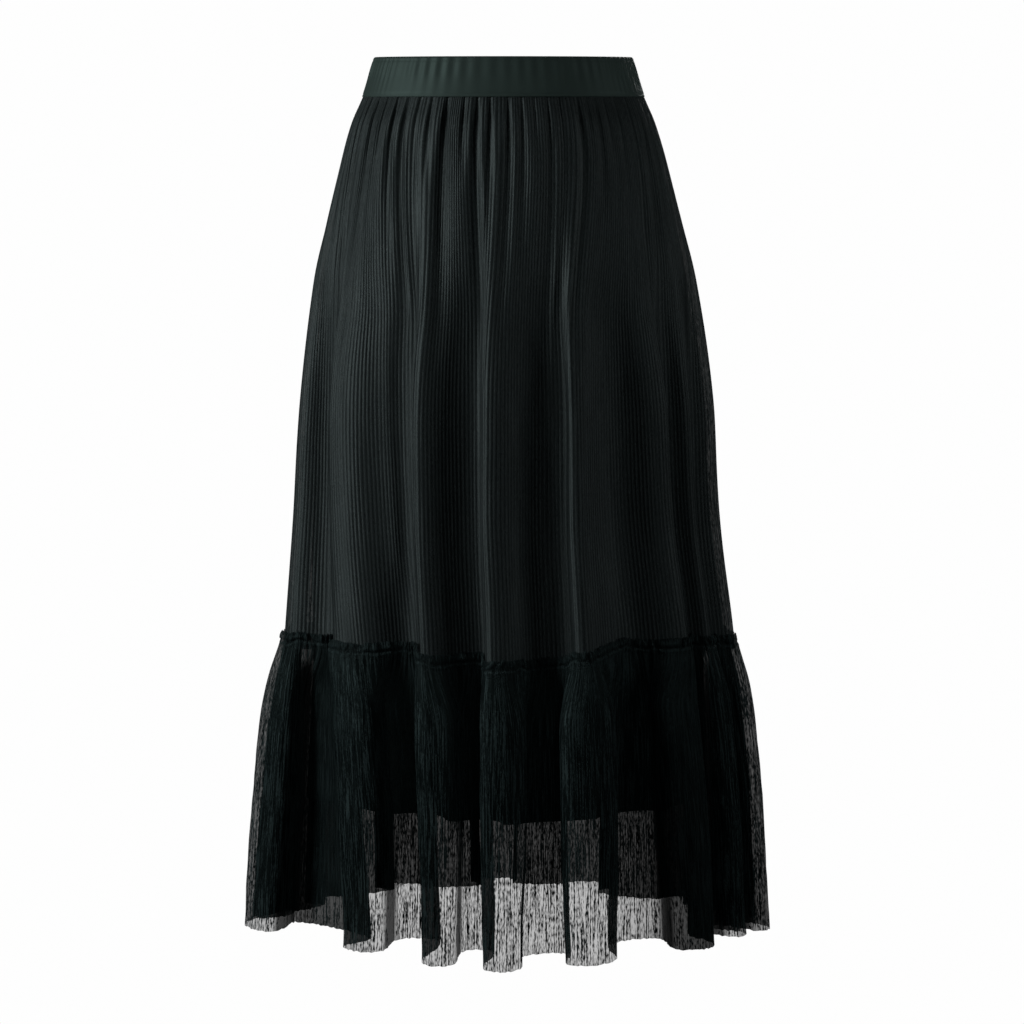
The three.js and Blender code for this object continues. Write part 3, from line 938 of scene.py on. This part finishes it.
lining_angles = even_angles(lining_surface, LINING_MEASURED_AT, LINING_COLUMNS)
angle, drop = np.meshgrid(lining_angles, lining_drops)
creased = crease_depth(angle, drop) * (1 - smooth(drop, LINING_CREASED, SEAM_DROP))
lining_out = -LINING_GAP - LINING_HANG * smooth(drop, TIER_TOP, LINING_HEM) - creased
lining_x, lining_y = offset_ring(*lining_surface(angle, drop), lining_out)
lining_z = LINING_LIFT * lift_at(angle, drop) - drop
lining_front, lining_back = halves_of(
    "lining_cloth", np.stack([lining_x, lining_y, lining_z], axis=-1), lining_drops, {}
)

# %% [markdown]
# ## The waistband
#
# The casing is one closed tube of cloth round the elastic. Its section is a short list of
# points: up the outside from the lower edge, past a groove of stitches near each edge, over
# the top and down the inside. out is the distance from the band's form and gather how much
# the gathers show there. They are strongest in the upper half.

# %% The waistband's section
band_profile = table(
    "drop out gather",
    (BAND_HALF, -0.5, 0.1),
    (BAND_HALF - 0.4, 0, 0.1),
    (BAND_HALF - 1.4, 0.1, 0.1),
    (BAND_HALF - 2.2, -0.25, 0.12),
    (BAND_HALF - 3.0, 0.1, 0.15),
    (BAND_HALF - 6, 0.15, 0.2),
    (BAND_HALF - 10, 0.1, 0.28),
    (BAND_HALF - 14, 0.1, 0.4),
    (BAND_HALF - 18, 0, 0.6),
    (-1, 0, 0.8),
    (-4, 0, 0.95),
    (-7, 0, 1),
    (-10, 0, 1),
    (-12.5, 0, 1),
    (-BAND_HALF + 4.4, 0, 0.85),
    (-BAND_HALF + 3.6, -0.3, 0.8),
    (-BAND_HALF + 2.8, 0, 0.85),
    (-BAND_HALF + 1.6, 0, 0.85),
    (-BAND_HALF + 0.7, -0.3, 0.8),
    (-BAND_HALF + 0.1, -1.0, 0.6),
    (-BAND_HALF, -1.7, 0.3),
    (-BAND_HALF + 0.7, -2.6, 0.1),
    (-BAND_HALF + 2, -3, 0),
    (-8, -3, 0.3),
    (0, -3, 0.3),
    (8, -3, 0.3),
    (BAND_HALF - 1, -3, 0),
    (BAND_HALF, -2.2, 0),
)
print(len(band_profile["drop"]), "points round the band's section")

# %% [markdown]
# The elastic pulls the casing into soft upright gathers, twelve columns to each, and no two
# alike. The section is carried round the body and closed into a ring.

# %% The waistband's ring
BAND_GATHERS = 84
COLUMNS_TO_A_GATHER = 12
BAND_COLUMNS = COLUMNS_TO_A_GATHER * BAND_GATHERS
BAND_GATHER = 0.62
GATHER_SWAY = 1.6
GATHER_MEAN, GATHER_UNEVEN, GATHER_PULLED_IN = 0.65, 0.45, 0.4

band_angles = np.linspace(-np.pi / 2, 1.5 * np.pi, BAND_COLUMNS, endpoint=False)
angle, drop = np.meshgrid(band_angles, band_profile["drop"])
round_share = np.arange(BAND_COLUMNS)[None, :] / BAND_COLUMNS
sway = GATHER_SWAY * round_noise(6, round_share, BAND_GATHERS // 3)
gather = np.cos(2 * np.pi * BAND_GATHERS * round_share + sway)
uneven = GATHER_MEAN + GATHER_UNEVEN * round_noise(7, round_share, BAND_GATHERS // 2)
gather_out = band_profile["gather"][:, None] * (gather * uneven - GATHER_PULLED_IN)
band_out = band_profile["out"][:, None] + BAND_GATHER * gather_out
band_x, band_y = offset_ring(*on_sections(BAND_SECTIONS, angle, drop), band_out)
band_points = np.stack([band_x, band_y, -drop], axis=-1)[::-1]
band_v = np.linspace(1, 0, len(band_points) + 1)
waistband = cloth_mesh("waistband_casing", band_points, band_v, ring=True, loop=True)


# %% [markdown]
# ## Finishes
#
# Shader maths is easier to read as Python expressions, so a small class wraps a socket and
# turns + - * into Math nodes.

# %% Expressions on sockets


class Value:
    """A socket of a finish that can be reckoned with."""

    def __init__(self, finish, socket):
        self.finish = finish
        self.socket = socket

    def math(self, operation, *others):
        made = self.finish.node("ShaderNodeMath", {"operation": operation}, self, *others)
        return made.output("Value")

    def __add__(self, other):
        return self.math("ADD", other)

    def __sub__(self, other):
        return self.math("SUBTRACT", other)

    def __rsub__(self, other):
        return (self * -1) + other

    def __mul__(self, other):
        return self.math("MULTIPLY", other)

    def clamp(self, low, high):
        return self.math("MAXIMUM", low).math("MINIMUM", high)

    def harden(self, contrast, level=0.5):
        """More contrast about the middle of a noise, kept between 0 and 1."""
        return ((self - 0.5) * contrast + level).clamp(0, 1)

    __radd__ = __add__
    __rmul__ = __mul__


# %% [markdown]
# A finish is a material whose nodes all come from one method. It takes the node's kind and
# its settings, and then the values or links of its sockets. A short method for each kind
# of node that is used often keeps the recipes below easy to read.

# %% Finishes and their nodes


class Node:
    """One node of a finish."""

    def __init__(self, finish, made):
        self.finish = finish
        self.made = made

    def output(self, name):
        return Value(self.finish, self.made.outputs[name])


class Finish:
    """A material whose nodes are added one by one."""

    def __init__(self, name):
        self.material = bpy.data.materials.new(name)
        self.material.use_nodes = True
        self.tree = self.material.node_tree
        self.surface = self.tree.nodes["Principled BSDF"]

    def node(self, kind, settings, *ordered, **named):
        """Adds a node: its settings come first, then the values or links of its sockets."""
        made = self.tree.nodes.new(kind)
        for key, value in settings.items():
            setattr(made, key, value)
        pairs = list(zip(made.inputs, ordered))
        pairs += [(made.inputs[key.replace("_", " ")], value) for key, value in named.items()]
        for socket, value in pairs:
            self.put(socket, value)
        return Node(self, made)

    def put(self, socket, value):
        if isinstance(value, Value):
            self.tree.links.new(value.socket, socket)
        else:
            socket.default_value = value

    def feed(self, **named):
        """Feeds the shader's own sockets."""
        for key, value in named.items():
            self.put(self.surface.inputs[key.replace("_", " ")], value)

    def threads(self, across, down):
        """The piece's UV map, in metres of cloth."""
        uv = self.node("ShaderNodeUVMap", {"uv_map": "OFBake"}).output("UV")
        placed = self.node("ShaderNodeMapping", {}, Vector=uv, Scale=(across, down, 1))
        return placed.output("Vector")

    def mark(self, name):
        """A number at each point of the piece, or 0 where the piece has no such mark."""
        return self.node("ShaderNodeAttribute", {"attribute_name": name}).output("Fac")

    def noise(self, vector, scale, stretch=(1, 1, 1), detail=2.0):
        """Noise of a scale per metre, stretched along the cloth."""
        placed = self.node("ShaderNodeMapping", {}, Vector=vector, Scale=stretch)
        made = self.node(
            "ShaderNodeTexNoise", {}, Vector=placed.output("Vector"), Scale=scale, Detail=detail
        )
        return made.output("Fac")

    def colour(self, first, second, share):
        """A colour between two. The Mix node has its colours at sockets 6, 7 and 2."""
        made = self.node("ShaderNodeMix", {"data_type": "RGBA"})
        self.put(made.made.inputs[0], share)
        self.put(made.made.inputs[6], first)
        self.put(made.made.inputs[7], second)
        return Value(self, made.made.outputs[2])

    def bump(self, height, distance):
        """Relief of a distance in metres."""
        made = self.node("ShaderNodeBump", {}, Height=height, Distance=distance)
        return made.output("Normal")


# %% [markdown]
# The mesh is black polyester. Its colour is made lighter on the edges of its ribs and on its
# threads, a dull painted sheen, and darker in creases and packed gathers, a painted shade,
# and the frill's lumps and stitches get a painted highlight. Its threads run down the cloth,
# some long and some short, and between them it is open. Where a fold's flank is seen on
# edge, the threads close up. The black leans to blue-green, so its gloss and sheen are tinted.

# %% The pleated mesh
GRAIN = 1500
CLOUDS = 18
LONG_THREADS = (820, (1, 0.03, 1), 1)
SHORT_THREADS = (980, (1, 0.2, 1), 2)
THREAD_CONTRAST = 8
LIT_CONTRAST, LIT_LEVEL = 6.5, 0.45
CLOUD_SHARE, LIGHT_AND_TONE_LOSS = 0.3, 0.2
CREASE_PAINTED_SHADE, PACKED_PAINTED_SHADE, SEAM_PAINTED_HIGHLIGHT = 0.75, 0.7, 0.7
MESH_ROUGHNESS, GRAIN_ROUGHNESS = 0.42, 0.15
MESH_SHEEN, SHEEN_ROUGHNESS = 0.03, 0.4
FLANK_CLOSES = 0.9
THREAD_BUMP = 0.0004


def mesh_finish(name, size, open_share, threads, rib_painted_sheen, dark, light, gloss, tint):
    """Open mesh: painted sheen on its ribs and threads, and gaps between them."""
    finish = Finish(name)
    cloth = finish.threads(*size)
    packed, seam = finish.mark("packed"), finish.mark("seam")
    grain, cloud = finish.noise(cloth, GRAIN), finish.noise(cloth, CLOUDS)
    long_threads = finish.noise(cloth, *LONG_THREADS)
    short_threads = finish.noise(cloth, *SHORT_THREADS)
    lit = (long_threads * 0.8 + short_threads * 0.2).harden(LIT_CONTRAST, LIT_LEVEL)
    # Painted sheen: the colour is lighter on the edges of the ribs and on the lit threads.
    painted_light_and_tone = finish.mark("rib") * rib_painted_sheen + lit * lit * threads
    # Random tone from the clouds is added to the painted sheen.
    painted_light_and_tone = painted_light_and_tone + cloud * CLOUD_SHARE - LIGHT_AND_TONE_LOSS
    # Painted shade: darker colour in the creases, in the gaps between the frill's lumps and at
    # the pinch of the stitches.
    painted_light_and_tone = painted_light_and_tone * (1 - finish.mark("crease") * CREASE_PAINTED_SHADE).clamp(0, 1)
    # Painted highlight on the frill's lumps and stitches.
    # Painted shade where the gathers are packed.
    painted_light_and_tone = (painted_light_and_tone * (1 - packed * PACKED_PAINTED_SHADE) + seam * SEAM_PAINTED_HIGHLIGHT).clamp(0, 1)
    # The colour runs from dark, in painted shade, to light, in painted sheen.
    finish.feed(Base_Color=finish.colour(dark, light, painted_light_and_tone))
    finish.feed(Roughness=grain * GRAIN_ROUGHNESS + MESH_ROUGHNESS)
    finish.feed(Specular_IOR_Level=gloss, Specular_Tint=tint)
    finish.feed(Sheen_Weight=MESH_SHEEN, Sheen_Roughness=SHEEN_ROUGHNESS, Sheen_Tint=tint)
    finish.feed(Normal=finish.bump(grain * 0.4 + lit * threads, THREAD_BUMP))
    thread = (long_threads * 0.5 + short_threads * 0.5).harden(THREAD_CONTRAST)
    closed = thread.math("MAXIMUM", (finish.mark("flank") * 2 - 1).clamp(0, FLANK_CLOSES))
    finish.feed(Alpha=1 - (1 - closed) * (1 - packed) * (1 - seam) * open_share)
    return finish.material


# %% [markdown]
# The tier is pleated close, and its painted sheen lies mostly on its ribs. The ruffle is
# more open, and its painted sheen lies on its threads. Its back half is made closer than
# its front half, so that two layers of it look as dark as they do on the real skirt.

# %% The tier's and the ruffle's mesh
tier_cloth = mesh_finish(
    "pleated_mesh",
    size=(0.75, 0.54),
    open_share=0.16,
    threads=0.1,
    rib_painted_sheen=0.9,
    dark=(0.002, 0.003, 0.0031, 1),
    light=(0.0143, 0.0181, 0.0188, 1),
    gloss=0.16,
    tint=(0.78, 1, 1, 1),
)
RUFFLE_LOOK = dict(
    size=(1.15, 0.29),
    threads=1.1,
    rib_painted_sheen=0.2,
    dark=(0.0003, 0.0006, 0.0007, 1),
    light=(0.0088, 0.0138, 0.0143, 1),
    gloss=0.06,
    tint=(0.62, 1, 1, 1),
)
ruffle_cloth = mesh_finish("ruffle_mesh", open_share=0.5, **RUFFLE_LOOK)
back_ruffle_cloth = mesh_finish("ruffle_mesh_back", open_share=0.1, **RUFFLE_LOOK)
print("the mesh finishes have", len(tier_cloth.node_tree.nodes), "nodes each")

# %% [markdown]
# The lining and the casing are plain cloth with a fine grain. The lining is dull and
# nearly black, and the casing is a little lighter and smoother.

# %% Lining and casing
CLOTH_TINT = (0.65, 1, 0.92, 1)
CLOTH_CLOUDS = 25
CLOTH_GLOSS, CLOTH_SHEEN = 0.25, 0.06
WEAVE_BUMP = 0.0001


def plain_finish(name, size, dark, light, roughness, weave):
    """Close cloth with a fine grain and a little sheen."""
    finish = Finish(name)
    cloth = finish.threads(*size)
    grain, cloud = finish.noise(cloth, weave), finish.noise(cloth, CLOTH_CLOUDS)
    finish.feed(Base_Color=finish.colour(dark, light, (cloud * 0.6 + grain * 0.5).clamp(0, 1)))
    finish.feed(Roughness=grain * GRAIN_ROUGHNESS + roughness)
    finish.feed(Specular_IOR_Level=CLOTH_GLOSS, Specular_Tint=CLOTH_TINT)
    finish.feed(Sheen_Weight=CLOTH_SHEEN, Sheen_Tint=CLOTH_TINT)
    finish.feed(Sheen_Roughness=SHEEN_ROUGHNESS, Normal=finish.bump(grain, WEAVE_BUMP))
    return finish.material


lining_cloth = plain_finish(
    "lining_cloth",
    size=(0.6, 0.68),
    dark=(0.0015, 0.003, 0.003, 1),
    light=(0.003, 0.0055, 0.0055, 1),
    roughness=0.6,
    weave=1800,
)
band_cloth = plain_finish(
    "band_cloth",
    size=(0.74, 0.08),
    dark=(0.0115, 0.0175, 0.016, 1),
    light=(0.019, 0.028, 0.0255, 1),
    roughness=0.55,
    weave=1600,
)
print("two plain finishes,", lining_cloth.name, "and", band_cloth.name)

# %% Ride and replace


def dress(piece, material, node):
    """Gives a piece its finish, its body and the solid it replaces."""
    piece.data.materials.append(material)
    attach(piece, "root")
    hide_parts(node)
    print(piece.name, "replaces", node)


dress(waistband, band_cloth, "waistband")
dress(tier_front, tier_cloth, "tier_front")
dress(tier_back, tier_cloth, "tier_back")
dress(ruffle_front, ruffle_cloth, "ruffle_front")
dress(ruffle_back, back_ruffle_cloth, "ruffle_back")
dress(lining_front, lining_cloth, "lining_front")
dress(lining_back, lining_cloth, "lining_back")
